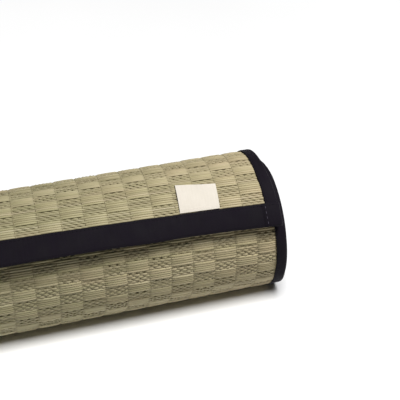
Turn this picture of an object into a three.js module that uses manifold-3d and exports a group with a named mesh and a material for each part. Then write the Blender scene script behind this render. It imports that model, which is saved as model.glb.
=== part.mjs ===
// A woven rush mat with dark cloth bindings and a small label, rolled up and lying on a floor.
// Millimetres, +Z up. X runs along the roll, and the free end lies on the front of the roll, towards -Y.
// The origin is on the floor, under the middle of the roll.
import * as THREE from "three";
import Module from "manifold-3d";

// Driving dimensions of the mat laid flat
const MAT_WIDTH = 600;
const MAT_LENGTH = 1800;
const RUSH_THICKNESS = 4.4;
const PRESSED_THICKNESS = 2.6;
const CLOTH_THICKNESS = 1;
const SIDE_BINDING_WIDTH = 9.8;
const END_BINDING_WIDTH = 17.8;
const PIECE_GAP = 0.3;

// Driving dimensions of the roll
const ROLL_RADIUS = 61.5;
const TURN_GAP = 0.4;
const FREE_END_DEGREES = 47.5;
const EDGE_DRIFT = 6.7;
const CORNER_DROOP = 10.4;
const DROOP_POWER = 3;
const FACETS_PER_TURN = 30;

// Driving dimensions of the label, as seen above the binding that holds it
const LABEL_WIDTH = 33;
const LABEL_HEIGHT = 25;
const LABEL_LEFT = 220.2;
const LABEL_SIDE_LEAN_DEGREES = 3;
const LABEL_TOP_LEAN_DEGREES = 6.4;

// Colours and roughness, from the photo
const RUSH = { color: 0xb3a882, roughness: 0.7, metalness: 0 };
const BINDING_CLOTH = { color: 0x1b1a22, roughness: 0.9, metalness: 0 };
const LABEL_CLOTH = { color: 0xebe4d7, roughness: 0.85, metalness: 0 };

// Sizes that follow from the driving ones
const TURN = 2 * Math.PI;
const HALF_WIDTH = MAT_WIDTH / 2;
const HALF_RUSH = RUSH_THICKNESS / 2;
const HALF_PRESSED = PRESSED_THICKNESS / 2;
const HALF_SLOT = HALF_PRESSED + PIECE_GAP;
const HALF_BINDING = HALF_SLOT + CLOTH_THICKNESS;
const PITCH = 2 * HALF_BINDING + TURN_GAP;
const END_RADIUS = ROLL_RADIUS - HALF_RUSH;
const CORE_RADIUS = Math.sqrt(END_RADIUS ** 2 - (PITCH * MAT_LENGTH) / Math.PI);
const TOTAL_TURN = (TURN * (END_RADIUS - CORE_RADIUS)) / PITCH;
const FREE_END_ANGLE = THREE.MathUtils.degToRad(FREE_END_DEGREES);
const FACET = TURN / FACETS_PER_TURN;
const FINE_FACET = FACET / 4;
const FINE_STRETCH = FREE_END_ANGLE - 2 * FACET;
const OVERRUN = FACET;
const BURIED_EDGE = CLOTH_THICKNESS + PIECE_GAP;
const SLOT_OPENING = 3;

// The floor presses the two lowest facets of the outermost turn flat
const BOTTOM_TURN = FREE_END_ANGLE + Math.PI;
const AXIS_HEIGHT = (windRadius(BOTTOM_TURN + FACET) + HALF_RUSH) * Math.cos(FACET);

const wasm = await Module();
wasm.setup();

// Radius of the mat's middle surface, at a turn angle counted back from the free end
function windRadius(turn) {
  return END_RADIUS - (PITCH * turn) / TURN;
}

// Turn angle at a length of mat counted back from the end at the core
function turnFromCore(length) {
  const radius = Math.sqrt(CORE_RADIUS ** 2 + (PITCH * length) / Math.PI);
  return (TURN * (END_RADIUS - radius)) / PITCH;
}

// The free end hangs lower towards its right corner
function droop(across) {
  const share = THREE.MathUtils.clamp(across / MAT_WIDTH + 0.5, 0, 1);
  return CORNER_DROOP * share ** DROOP_POWER;
}

// Turn angle at a length of mat counted back from the drooping free end
function turnFromFreeEnd(length, across) {
  return (length - droop(across)) / END_RADIUS;
}

// The last turn is wound a little askew, so that its edges drift to the left
function drift(turn) {
  const share = THREE.MathUtils.clamp(1 - turn / TURN, 0, 1);
  return EDGE_DRIFT * share ** 3;
}

// How far the floor pushes the turns in, at an angle from the roll's top
function sag(angle) {
  const fall = -Math.cos(angle);
  if (fall < Math.cos(1.5 * FACET)) {
    return 0;
  }
  const turn = BOTTOM_TURN + Math.atan2(Math.sin(angle), fall);
  return windRadius(turn) + HALF_RUSH - AXIS_HEIGHT / fall;
}

// A point of the roll: turn angle back from the free end, place across the mat, height over its middle
function rollPoint(turn, across, height) {
  const angle = FREE_END_ANGLE - turn;
  const radius = windRadius(turn) + height - sag(angle);
  const z = AXIS_HEIGHT + radius * Math.cos(angle);
  return [across - drift(turn), -radius * Math.sin(angle), Math.max(z, 0)];
}

// Turn angles of the facets between two turn angles, close together near the free end
function facetTurns(from, to) {
  const turns = [from];
  let turn = -OVERRUN + (FREE_END_ANGLE % FINE_FACET);
  while (turn < to - FINE_FACET / 2) {
    if (turn > from + FINE_FACET / 2) {
      turns.push(turn);
    }
    turn += turn < FINE_STRETCH - FINE_FACET / 2 ? FINE_FACET : FACET;
  }
  turns.push(to);
  return turns;
}

// A closed slab on a grid of points, where place(row, column, face) gives its outer (1) and inner (0) face
function gridSlab(rows, columns, place) {
  const points = [];
  for (let row = 0; row < rows; row += 1) {
    for (let column = 0; column < columns; column += 1) {
      points.push(...place(row, column, 0), ...place(row, column, 1));
    }
  }
  const at = (row, column, face) => 2 * (row * columns + column) + face;
  const triangles = [];
  const quad = (a, b, c, d) => triangles.push(a, b, c, a, c, d);
  const lastRow = rows - 1;
  const lastColumn = columns - 1;
  for (let row = 0; row < lastRow; row += 1) {
    const next = row + 1;
    for (let column = 0; column < lastColumn; column += 1) {
      const side = column + 1;
      quad(at(row, column, 1), at(row, side, 1), at(next, side, 1), at(next, column, 1));
      quad(at(row, column, 0), at(next, column, 0), at(next, side, 0), at(row, side, 0));
    }
    quad(at(row, 0, 1), at(next, 0, 1), at(next, 0, 0), at(row, 0, 0));
    quad(at(row, lastColumn, 1), at(row, lastColumn, 0), at(next, lastColumn, 0), at(next, lastColumn, 1));
  }
  for (let column = 0; column < lastColumn; column += 1) {
    const side = column + 1;
    quad(at(0, column, 1), at(0, column, 0), at(0, side, 0), at(0, side, 1));
    quad(at(lastRow, column, 1), at(lastRow, side, 1), at(lastRow, side, 0), at(lastRow, column, 0));
  }
  const vertProperties = new Float32Array(points);
  const triVerts = new Uint32Array(triangles);
  return new wasm.Manifold(new wasm.Mesh({ numProp: 3, vertProperties, triVerts }));
}

// A strip of the mat's wound form, between two turn angles and two places across, as thick as stated
function windStrip(fromTurn, toTurn, edge, otherEdge, halfThickness) {
  const turns = facetTurns(fromTurn, toTurn);
  const edges = [edge, otherEdge].sort((a, b) => a - b);
  const place = (row, column, face) => rollPoint(turns[row], edges[column], (2 * face - 1) * halfThickness);
  return gridSlab(turns.length, edges.length, place);
}

// Everything beyond a line that follows the free end, a length of mat back from it
function pastFreeEnd(length) {
  const columns = 13;
  const rows = 12;
  const margin = 10;
  const from = -2 * OVERRUN;
  const heights = [-PITCH / 2, PITCH];
  const place = (row, column, face) => {
    const across = (column / (columns - 1) - 0.5) * (MAT_WIDTH + 2 * margin);
    const to = turnFromFreeEnd(length, across);
    return rollPoint(from + ((to - from) * row) / (rows - 1), across, heights[face]);
  };
  return gridSlab(rows, columns, place);
}

// The woven rush, with its edges pressed thin for the bindings
function makeRush() {
  const fieldEdge = HALF_WIDTH - SIDE_BINDING_WIDTH - PIECE_GAP;
  const pressedEdge = HALF_WIDTH - BURIED_EDGE;
  const fieldStart = turnFromCore(END_BINDING_WIDTH + PIECE_GAP);
  const pressedStart = turnFromCore(BURIED_EDGE);
  const field = windStrip(-OVERRUN, fieldStart, -fieldEdge, fieldEdge, HALF_RUSH);
  const pressed = windStrip(-OVERRUN, pressedStart, -pressedEdge, pressedEdge, HALF_PRESSED);
  const shortField = field.subtract(pastFreeEnd(END_BINDING_WIDTH + PIECE_GAP));
  const shortPressed = pressed.subtract(pastFreeEnd(BURIED_EDGE));
  return shortField.add(shortPressed);
}

// A cloth strip folded over one long edge, from one end binding to the other
function makeSideBinding(side) {
  const start = turnFromCore(END_BINDING_WIDTH + PIECE_GAP);
  const lip = side * (HALF_WIDTH - SIDE_BINDING_WIDTH);
  const fold = side * HALF_WIDTH;
  const slotMouth = lip - side * SLOT_OPENING;
  const slotFloor = fold - side * CLOTH_THICKNESS;
  const slotStart = turnFromCore(END_BINDING_WIDTH - SLOT_OPENING);
  const strip = windStrip(-OVERRUN, start, lip, fold, HALF_BINDING);
  const slot = windStrip(-2 * OVERRUN, slotStart, slotMouth, slotFloor, HALF_SLOT);
  return strip.subtract(slot).subtract(pastFreeEnd(END_BINDING_WIDTH + PIECE_GAP));
}

// A cloth strip folded over the free end, across the whole width
function makeOuterEndBinding() {
  const back = turnFromFreeEnd(END_BINDING_WIDTH + SLOT_OPENING, -HALF_WIDTH);
  const slotEdge = HALF_WIDTH - CLOTH_THICKNESS;
  const strip = windStrip(-OVERRUN, back, -HALF_WIDTH, HALF_WIDTH, HALF_BINDING);
  const slot = windStrip(-OVERRUN, back + FACET, -slotEdge, slotEdge, HALF_SLOT);
  const folded = strip.intersect(pastFreeEnd(END_BINDING_WIDTH)).subtract(pastFreeEnd(0));
  return folded.subtract(slot.subtract(pastFreeEnd(CLOTH_THICKNESS)));
}

// The same over the end at the core
function makeInnerEndBinding() {
  const lip = turnFromCore(END_BINDING_WIDTH);
  const slotEdge = HALF_WIDTH - CLOTH_THICKNESS;
  const slotLip = turnFromCore(END_BINDING_WIDTH + SLOT_OPENING);
  const strip = windStrip(lip, TOTAL_TURN, -HALF_WIDTH, HALF_WIDTH, HALF_BINDING);
  const slot = windStrip(slotLip, turnFromCore(CLOTH_THICKNESS), -slotEdge, slotEdge, HALF_SLOT);
  return strip.subtract(slot);
}

// A small cloth label that lies on the rush above the free end's binding, a little crooked
function makeLabel() {
  const rows = 7;
  const columns = 4;
  const sideLean = Math.tan(THREE.MathUtils.degToRad(LABEL_SIDE_LEAN_DEGREES));
  const topLean = Math.tan(THREE.MathUtils.degToRad(LABEL_TOP_LEAN_DEGREES));
  const underside = HALF_RUSH + PIECE_GAP;
  const place = (row, column, face) => {
    const right = (LABEL_WIDTH * column) / (columns - 1);
    const rise = ((LABEL_HEIGHT - right * topLean) * row) / (rows - 1);
    const across = LABEL_LEFT + right + rise * sideLean;
    const turn = turnFromFreeEnd(END_BINDING_WIDTH + PIECE_GAP + rise, across);
    return rollPoint(turn, across, underside + face * CLOTH_THICKNESS);
  };
  return gridSlab(rows, columns, place);
}

// A named mesh of a solid, with its own material
function meshOf(name, solid, finish) {
  const { numProp, vertProperties, triVerts } = solid.getMesh();
  const geometry = new THREE.BufferGeometry();
  geometry.setAttribute("position", new THREE.BufferAttribute(new Float32Array(vertProperties), numProp));
  geometry.setIndex(new THREE.BufferAttribute(new Uint32Array(triVerts), 1));
  geometry.computeVertexNormals();
  const mesh = new THREE.Mesh(geometry, new THREE.MeshStandardMaterial(finish));
  mesh.name = name;
  return mesh;
}

const mat = new THREE.Group();
mat.name = "rolled_tatami_mat";
mat.add(meshOf("rush_mat", makeRush(), RUSH));
mat.add(meshOf("side_binding_right", makeSideBinding(1), BINDING_CLOTH));
mat.add(meshOf("side_binding_left", makeSideBinding(-1), BINDING_CLOTH));
mat.add(meshOf("end_binding_outer", makeOuterEndBinding(), BINDING_CLOTH));
mat.add(meshOf("end_binding_inner", makeInnerEndBinding(), BINDING_CLOTH));
mat.add(meshOf("label", makeLabel(), LABEL_CLOTH));

export default mat;
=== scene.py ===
"""Looks of a rolled rush mat with dark cloth bindings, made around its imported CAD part."""

import logging
import math
from dataclasses import dataclass
from enum import Enum
from typing import Any, Dict, List, Mapping, Optional, Sequence, Tuple, Union

import bpy
import numpy as np
from mathutils import Matrix, Vector


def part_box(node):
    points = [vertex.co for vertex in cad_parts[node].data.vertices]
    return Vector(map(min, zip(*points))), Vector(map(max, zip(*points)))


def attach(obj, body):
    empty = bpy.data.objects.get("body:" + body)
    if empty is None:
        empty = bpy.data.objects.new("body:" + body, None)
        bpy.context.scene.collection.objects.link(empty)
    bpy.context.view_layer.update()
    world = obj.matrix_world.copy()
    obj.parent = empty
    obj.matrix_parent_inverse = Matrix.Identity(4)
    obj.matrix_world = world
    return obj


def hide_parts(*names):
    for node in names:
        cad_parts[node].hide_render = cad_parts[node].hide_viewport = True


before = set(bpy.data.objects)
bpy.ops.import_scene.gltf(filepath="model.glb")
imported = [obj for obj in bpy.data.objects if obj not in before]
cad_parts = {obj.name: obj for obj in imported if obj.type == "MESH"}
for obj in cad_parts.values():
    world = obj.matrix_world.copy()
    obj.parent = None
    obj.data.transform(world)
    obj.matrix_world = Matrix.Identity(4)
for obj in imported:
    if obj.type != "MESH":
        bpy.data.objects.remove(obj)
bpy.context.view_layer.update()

MM = 0.001
BODY = "root"
LOG = logging.getLogger("rolled_mat")

Colour = Tuple[float, float, float]
Number = Union["Field", float]
Table = Tuple[Tuple[float, float], ...]

RIM_WANDER: Table = (
    (0, 2.6), (18, 2.0), (35, 1.2), (50, 0.0), (75, -0.7), (110, -0.5), (180, 0.3), (240, 2.6),
    (264, 4.9), (286, 3.4), (305, 1.6), (343, 0.8), (398, 0.9), (405, 0.4), (410, 0.2), (416, -0.7),
    (422, -1.8), (440, -1.8), (480, 0.9), (1800, 0.9),
)
LIP_WANDER: Table = (
    (0, 1.1), (18, 0.9), (40, 0.0), (70, -0.2), (110, -0.1), (200, 0.4), (240, 4.2),
    (264, 5.2), (286, 2.6), (305, 1.4), (343, 1.1), (380, 0.0), (1800, 0.0),
)
STRAIGHT: Table = ((0, 0.0), (1800, 0.0))
HANG: Table = (
    (-300, 2.6), (20, 4.2), (60, 4.2), (90, 3.2), (125, 2.6), (160, 2.2), (195, 2.4),
    (228, 1.4), (262, 1.5), (300, 2.2),
)
SPRING: Table = (
    (-300, 3.0), (-120, 7.0), (0, 10.3), (72, 10.3), (115, 8.5), (150, 6.6), (185, 4.8),
    (220, 3.3), (260, 2.1), (300, 1.8),
)


class Slot(Enum):
    """Names of the material slots for the pieces' finishes."""

    RUSH = "rush"
    CLOTH = "binding_cloth"
    LABEL = "label_cloth"


class Side(Enum):
    """A long edge of the mat, as the sign of its place across."""

    LEFT = -1
    RIGHT = 1


class MatEnd(Enum):
    """A short end of the mat."""

    FREE = "free"
    CORE = "core"


def linear(colour: Colour) -> Tuple[float, float, float, float]:
    """Turns a screen colour into a shader colour.

    Args:
        colour: Red, green and blue from 0 to 255.

    Returns:
        Linear red, green, blue and full alpha.
    """
    shares = [part / 255 for part in colour]
    parts = [s / 12.92 if s <= 0.04045 else ((s + 0.055) / 1.055) ** 2.4 for s in shares]
    return (parts[0], parts[1], parts[2], 1.0)


def smooth_step(low: float, high: float, values: np.ndarray) -> np.ndarray:
    """Gives a smooth rise from 0 to 1.

    Args:
        low: Where the rise starts.
        high: Where it ends.
        values: Places to read it at.

    Returns:
        The rise at each place.
    """
    share = np.clip((values - low) / (high - low), 0.0, 1.0)
    return share * share * (3.0 - 2.0 * share)


@dataclass(frozen=True)
class Winding:
    """The spiral that the mat follows, in metres, counted back from its free end."""

    half_width: float
    mat_length: float = 1800 * MM
    roll_radius: float = 61.5 * MM
    rush_half: float = 2.2 * MM
    pitch: float = 5.6 * MM
    free_end_angle: float = math.radians(47.5)
    edge_drift: float = 6.7 * MM
    corner_droop: float = 10.4 * MM
    facet: float = math.radians(12)
    flat_reach: float = math.radians(20)
    droop_fade: float = 400 * MM
    spring: Table = SPRING
    spring_reach: float = 1.0

    @property
    def end_radius(self) -> float:
        """Radius of the mat's middle layer at its free end."""
        return self.roll_radius - self.rush_half

    @property
    def axis_height(self) -> float:
        """Height of the roll's axis over the floor."""
        turn = self.free_end_angle + math.pi + self.facet
        return (self.radius(turn) + self.rush_half) * math.cos(self.facet)

    def radius(self, turn: Any) -> Any:
        """Radius of the mat's middle layer after a turn in radians."""
        return self.end_radius - self.pitch * turn / math.tau

    def turn_at(self, length: np.ndarray) -> np.ndarray:
        """Turn in radians after a length of mat."""
        inside = self.end_radius**2 - self.pitch * length / math.pi
        return (self.end_radius - np.sqrt(inside)) * math.tau / self.pitch

    def droop(self, across: np.ndarray) -> np.ndarray:
        """How far the free edge hangs lower towards its right corner."""
        share = np.clip(across / (2 * self.half_width) + 0.5, 0.0, 1.0)
        return self.corner_droop * share**3

    def sag(self, angle: np.ndarray) -> np.ndarray:
        """How far the roll's own weight presses it flat at the floor.

        Args:
            angle: Angle from the roll's top towards its front.

        Returns:
            The loss of radius at each angle.
        """
        fall = np.maximum(-np.cos(angle), math.cos(self.flat_reach))
        turn = self.free_end_angle + math.pi + np.arctan2(np.sin(angle), fall)
        pressed = self.radius(turn) + self.rush_half - self.axis_height / fall
        near = -np.cos(angle) > math.cos(self.flat_reach)
        return np.where(near, np.maximum(pressed, 0.0), 0.0)

    def lifted(self, turn: np.ndarray, across: np.ndarray) -> np.ndarray:
        """How far the free end springs off the turn below it, most near its middle."""
        places, lifts = np.array(self.spring).T * MM
        share = np.clip(1.0 - turn / self.spring_reach, 0.0, 1.2)
        return np.interp(across, places, lifts) * share**2

    def place(self, length: np.ndarray, across: np.ndarray, height: np.ndarray) -> np.ndarray:
        """Puts points of the flat mat on the roll.

        Args:
            length: Distance back from the free edge.
            across: Place across the mat, from its middle.
            height: Height over the mat's middle layer.

        Returns:
            Points in the row frame, with a last axis of three.
        """
        length, across, height = np.broadcast_arrays(length, across, height)
        fade = np.clip(2.0 - length / self.droop_fade, 0.0, 1.0)
        turn = self.turn_at(length - self.droop(across) * fade)
        lifted = self.lifted(turn, across)
        angle = self.free_end_angle - turn + lifted * turn / self.end_radius
        radius = self.radius(turn) + height + lifted - self.sag(angle)
        drift = self.edge_drift * np.clip(1.0 - turn / math.tau, 0.0, 1.0) ** 3
        up = np.maximum(self.axis_height + radius * np.cos(angle), 0.0)
        return np.stack([across - drift, -radius * np.sin(angle), up], axis=-1)


class Field:
    """A number that varies over a geometry, with plain arithmetic on it."""

    def __init__(self, graph: "NodeGraph", socket: bpy.types.NodeSocket) -> None:
        """Keeps the graph and the socket that gives the number."""
        self.graph = graph
        self.socket = socket

    def __add__(self, other: Number) -> "Field":
        """Adds."""
        return self.graph.math("ADD", self, other)

    def __radd__(self, other: float) -> "Field":
        """Adds to a plain number."""
        return self.graph.math("ADD", other, self)

    def __sub__(self, other: Number) -> "Field":
        """Takes away."""
        return self.graph.math("SUBTRACT", self, other)

    def __rsub__(self, other: float) -> "Field":
        """Takes away from a plain number."""
        return self.graph.math("SUBTRACT", other, self)

    def __mul__(self, other: Number) -> "Field":
        """Multiplies."""
        return self.graph.math("MULTIPLY", self, other)

    def __rmul__(self, other: float) -> "Field":
        """Multiplies a plain number."""
        return self.graph.math("MULTIPLY", other, self)

    def __truediv__(self, other: Number) -> "Field":
        """Divides."""
        return self.graph.math("DIVIDE", self, other)

    def __neg__(self) -> "Field":
        """Turns the sign round."""
        return self.graph.math("MULTIPLY", self, -1.0)


class NodeGraph:
    """A Geometry Nodes tree that is built up step by step."""

    def __init__(self, name: str) -> None:
        """Starts a tree with one geometry going in and one coming out."""
        self.tree = bpy.data.node_groups.new(name, "GeometryNodeTree")
        self.tree.is_modifier = True
        face = self.tree.interface
        face.new_socket("Geometry", in_out="INPUT", socket_type="NodeSocketGeometry")
        face.new_socket("Geometry", in_out="OUTPUT", socket_type="NodeSocketGeometry")
        self.source = self.tree.nodes.new("NodeGroupInput")
        self.settings: Dict[str, Union[int, float]] = {}
        self.names: Dict[str, str] = {}

    def number(self, name: str, value: Union[int, float]) -> Field:
        """Adds a named input.

        Args:
            name: The input's name.
            value: Its setting, a whole number or a length.

        Returns:
            The input as a field.
        """
        kind = "NodeSocketInt" if isinstance(value, int) else "NodeSocketFloat"
        socket = self.tree.interface.new_socket(name, in_out="INPUT", socket_type=kind)
        self.settings[socket.identifier] = value
        self.names[name] = socket.identifier
        return Field(self, self.source.outputs[name])

    def node(
        self, kind: str, values: Optional[Mapping[str, Any]] = None, **settings: Any
    ) -> bpy.types.Node:
        """Adds a node.

        Args:
            kind: Blender's name for the node.
            values: Inputs by name: fields, sockets or plain values.
            settings: The node's own properties.

        Returns:
            The node.
        """
        node = self.tree.nodes.new(kind)
        for key, value in settings.items():
            setattr(node, key, value)
        for key, value in (values or {}).items():
            self.feed(value, node.inputs[key])
        return node

    def feed(self, value: Any, socket: bpy.types.NodeSocket) -> None:
        """Links a field or socket to an input, or sets the input's own value."""
        if isinstance(value, Field):
            value = value.socket
        if isinstance(value, bpy.types.NodeSocket):
            self.tree.links.new(value, socket)
        else:
            socket.default_value = value

    def math(self, operation: str, *values: Number) -> Field:
        """Adds one step of arithmetic.

        Args:
            operation: Blender's name for it.
            values: What it works on.

        Returns:
            The result.
        """
        node = self.tree.nodes.new("ShaderNodeMath")
        node.operation = operation
        for value, socket in zip(values, node.inputs):
            self.feed(value, socket)
        return Field(self, node.outputs[0])

    def clamp(self, value: Number, low: float = 0.0, high: float = 1.0) -> Field:
        """Keeps a number between two others."""
        return self.math("MINIMUM", self.math("MAXIMUM", value, low), high)

    def table(self, value: Field, pairs: Table) -> Field:
        """Reads a short table with straight steps between its rows.

        Args:
            value: Place to read it at, in metres.
            pairs: Places and results in millimetres, in rising order.

        Returns:
            The result in metres.
        """
        result = value * 0.0 + pairs[0][1] * MM
        for (low, first), (high, last) in zip(pairs, pairs[1:]):
            share = self.clamp((value - low * MM) / ((high - low) * MM))
            result = result + share * ((last - first) * MM)
        return result

    def random(self, low: float, high: float, which: Number, seed: int) -> Field:
        """Gives a random number for each of something.

        Args:
            low: The least it may be.
            high: The most it may be.
            which: The number of the thing.
            seed: A fixed seed.

        Returns:
            The random number.
        """
        node = self.node("FunctionNodeRandomValue", data_type="FLOAT")
        for key, value in (("Min", low), ("Max", high), ("ID", which), ("Seed", seed)):
            live = [s for s in node.inputs if s.name == key and s.enabled]
            self.feed(value, live[0])
        return Field(self, [s for s in node.outputs if s.enabled][0])

    def drift(self, first: Field, second: Field, detail: float) -> Field:
        """Gives a smooth wander between -0.5 and 0.5.

        Args:
            first: Place along the first direction.
            second: Place along the second direction.
            detail: How much fine wander rides on the slow one.

        Returns:
            The wander.
        """
        place = self.node("ShaderNodeCombineXYZ", {"X": first, "Y": second, "Z": 0.37})
        values = {"Vector": place.outputs[0], "Scale": 1.0, "Detail": detail}
        return Field(self, self.node("ShaderNodeTexNoise", values).outputs[0]) - 0.5

    def close(self, geometry: bpy.types.NodeSocket, material: bpy.types.Material) -> None:
        """Ends the tree in plain faces of one material."""
        real = self.node("GeometryNodeRealizeInstances", {"Geometry": geometry})
        values = {"Geometry": real.outputs[0], "Material": material}
        dressed = self.node("GeometryNodeSetMaterial", values)
        out = self.tree.nodes.new("NodeGroupOutput")
        self.tree.links.new(dressed.outputs[0], out.inputs[0])

    def bake(
        self,
        name: str,
        mesh: Optional[bpy.types.Mesh] = None,
        changes: Optional[Mapping[str, Union[int, float]]] = None,
    ) -> bpy.types.Object:
        """Runs the tree and keeps its result as a plain mesh.

        Args:
            name: The piece's name.
            mesh: What goes into the tree, if anything does.
            changes: Inputs by name that differ from their settings.

        Returns:
            The piece.
        """
        piece = bpy.data.objects.new(name, mesh or bpy.data.meshes.new(name))
        bpy.context.scene.collection.objects.link(piece)
        modifier = piece.modifiers.new(name, "NODES")
        modifier.node_group = self.tree
        settings = dict(self.settings)
        settings.update({self.names[key]: value for key, value in (changes or {}).items()})
        for identifier, value in settings.items():
            modifier[identifier] = value
        depsgraph = bpy.context.evaluated_depsgraph_get()
        made = bpy.data.meshes.new_from_object(piece.evaluated_get(depsgraph))
        piece.modifiers.clear()
        piece.data = made
        made.name = name
        return piece


class RollPath:
    """The winding as nodes, so that a tree can put flat places on the roll."""

    def __init__(self, graph: NodeGraph, winding: Winding) -> None:
        """Adds the winding's sizes to a tree as named inputs."""
        self.graph = graph
        self.end_radius = graph.number("End radius", winding.end_radius)
        self.pitch = graph.number("Winding pitch", winding.pitch)
        self.end_angle = graph.number("Free end angle", winding.free_end_angle)
        self.axis = graph.number("Axis height", winding.axis_height)
        self.drift = graph.number("Edge drift", winding.edge_drift)
        self.droop = graph.number("Corner droop", winding.corner_droop)
        self.width = graph.number("Mat width", 2 * winding.half_width)
        self.spring = winding.spring
        self.reach = graph.number("Lift reach", winding.spring_reach)

    def turn(self, length: Field, across: Field) -> Field:
        """Turn in radians at a place on the flat mat."""
        share = self.graph.clamp(across / self.width + 0.5)
        along = length - self.droop * share * share * share
        inside = self.end_radius * self.end_radius - self.pitch * along / math.pi
        return (self.end_radius - self.graph.math("SQRT", inside)) * math.tau / self.pitch

    def point(
        self, turn: Field, across: Field, height: Field, clear: Number
    ) -> bpy.types.NodeSocket:
        """Gives a point on the roll.

        Args:
            turn: Turn in radians, back from the free end.
            across: Place across the mat.
            height: Height over the mat's middle layer.
            clear: The lowest that the point may lie over the floor.

        Returns:
            The point as a vector socket.
        """
        sprung = self.graph.clamp(1.0 - turn / self.reach, 0.0, 1.2)
        lifted = self.graph.table(across, self.spring) * sprung * sprung
        angle = self.end_angle - turn + lifted * turn / self.end_radius
        radius = self.end_radius - self.pitch * turn / math.tau + height + lifted
        left = self.graph.clamp(1.0 - turn / math.tau)
        up = self.axis + radius * self.graph.math("COSINE", angle)
        values = {
            "X": across - self.drift * left * left * left,
            "Y": -(radius * self.graph.math("SINE", angle)),
            "Z": self.graph.math("MAXIMUM", up, clear),
        }
        return self.graph.node("ShaderNodeCombineXYZ", values).outputs[0]


class ShaderGraph:
    """A material's nodes, built up step by step round one Principled shader."""

    def __init__(self, name: str) -> None:
        """Starts a material with its shader and output."""
        self.material = bpy.data.materials.new(name)
        self.material.use_nodes = True
        self.tree = self.material.node_tree
        self.tree.nodes.clear()
        output = self.tree.nodes.new("ShaderNodeOutputMaterial")
        self.surface = self.tree.nodes.new("ShaderNodeBsdfPrincipled")
        self.tree.links.new(self.surface.outputs[0], output.inputs[0])

    def node(
        self, kind: str, values: Optional[Mapping[str, Any]] = None, **settings: Any
    ) -> bpy.types.Node:
        """Adds a node.

        Args:
            kind: Blender's name for the node.
            values: Inputs by name: sockets or plain values.
            settings: The node's own properties.

        Returns:
            The node.
        """
        node = self.tree.nodes.new(kind)
        for key, value in settings.items():
            setattr(node, key, value)
        for key, value in (values or {}).items():
            self.feed(value, node.inputs[key])
        return node

    def feed(self, value: Any, socket: bpy.types.NodeSocket) -> None:
        """Links a socket to an input, or sets the input's own value."""
        if isinstance(value, bpy.types.NodeSocket):
            self.tree.links.new(value, socket)
        else:
            socket.default_value = value

    def set(self, **values: Any) -> None:
        """Sets the shader's own sockets, with underscores for the spaces in their names."""
        for key, value in values.items():
            self.feed(value, self.surface.inputs[key.replace("_", " ")])

    def math(self, operation: str, *values: Any) -> bpy.types.NodeSocket:
        """Adds one step of arithmetic and gives its result."""
        node = self.tree.nodes.new("ShaderNodeMath")
        node.operation = operation
        for value, socket in zip(values, node.inputs):
            self.feed(value, socket)
        return node.outputs[0]

    def attribute(self, name: str) -> bpy.types.NodeSocket:
        """Reads a number that the mesh carries."""
        return self.node("ShaderNodeAttribute", attribute_name=name).outputs["Fac"]

    def coords(self, which: str, scale: Sequence[float]) -> bpy.types.NodeSocket:
        """Gives a stretched place on the piece.

        Args:
            which: Object or UV.
            scale: Repeats per metre along each axis.

        Returns:
            The place as a vector socket.
        """
        place = self.tree.nodes.new("ShaderNodeTexCoord").outputs[which]
        return self.node("ShaderNodeMapping", {"Vector": place, "Scale": tuple(scale)}).outputs[0]

    def noise(self, vector: bpy.types.NodeSocket, detail: float = 2.0) -> bpy.types.NodeSocket:
        """Gives cloudy noise, of about one repeat per unit."""
        values = {"Vector": vector, "Scale": 1.0, "Detail": detail}
        return self.node("ShaderNodeTexNoise", values).outputs["Fac"]

    def ramp(
        self, value: bpy.types.NodeSocket, stops: Sequence[Tuple[float, Colour]]
    ) -> bpy.types.NodeSocket:
        """Turns a number into a colour.

        Args:
            value: The number, from 0 to 1.
            stops: Places and screen colours in rising order.

        Returns:
            The colour socket.
        """
        node = self.node("ShaderNodeValToRGB", {"Fac": value})
        elements = node.color_ramp.elements
        while len(elements) < len(stops):
            elements.new(0.5)
        for element, (place, colour) in zip(elements, stops):
            element.position = place
        for element, (place, colour) in zip(elements, stops):
            element.color = linear(colour)
        return node.outputs[0]

    def level(
        self, value: bpy.types.NodeSocket, ends: Tuple[float, float], to: Tuple[float, float]
    ) -> Any:
        """Stretches a number from one range to another, and keeps it there."""
        values = {
            "Value": value,
            "From Min": ends[0],
            "From Max": ends[1],
            "To Min": to[0],
            "To Max": to[1],
        }
        return self.node("ShaderNodeMapRange", values).outputs[0]

    def mix(self, share: Any, first: Any, second: Any, blend: str = "MIX") -> bpy.types.NodeSocket:
        """Mixes two colours.

        Args:
            share: How much of the second there is.
            first: The first colour.
            second: The second colour.
            blend: Blender's name for the way to mix.

        Returns:
            The mixed colour.
        """
        node = self.node("ShaderNodeMix", data_type="RGBA", blend_type=blend)
        self.feed(share, node.inputs[0])
        self.feed(first, node.inputs[6])
        self.feed(second, node.inputs[7])
        return node.outputs[2]

    def grey(self, value: bpy.types.NodeSocket) -> bpy.types.NodeSocket:
        """Turns a number into a grey colour."""
        values = {"Red": value, "Green": value, "Blue": value}
        return self.node("ShaderNodeCombineColor", values).outputs[0]

    def bump(self, height: Any, distance: float, strength: float = 1.0) -> None:
        """Gives the shader a fine relief of a height in metres."""
        values = {"Height": height, "Distance": distance, "Strength": strength}
        self.set(Normal=self.node("ShaderNodeBump", values).outputs[0])


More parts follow.
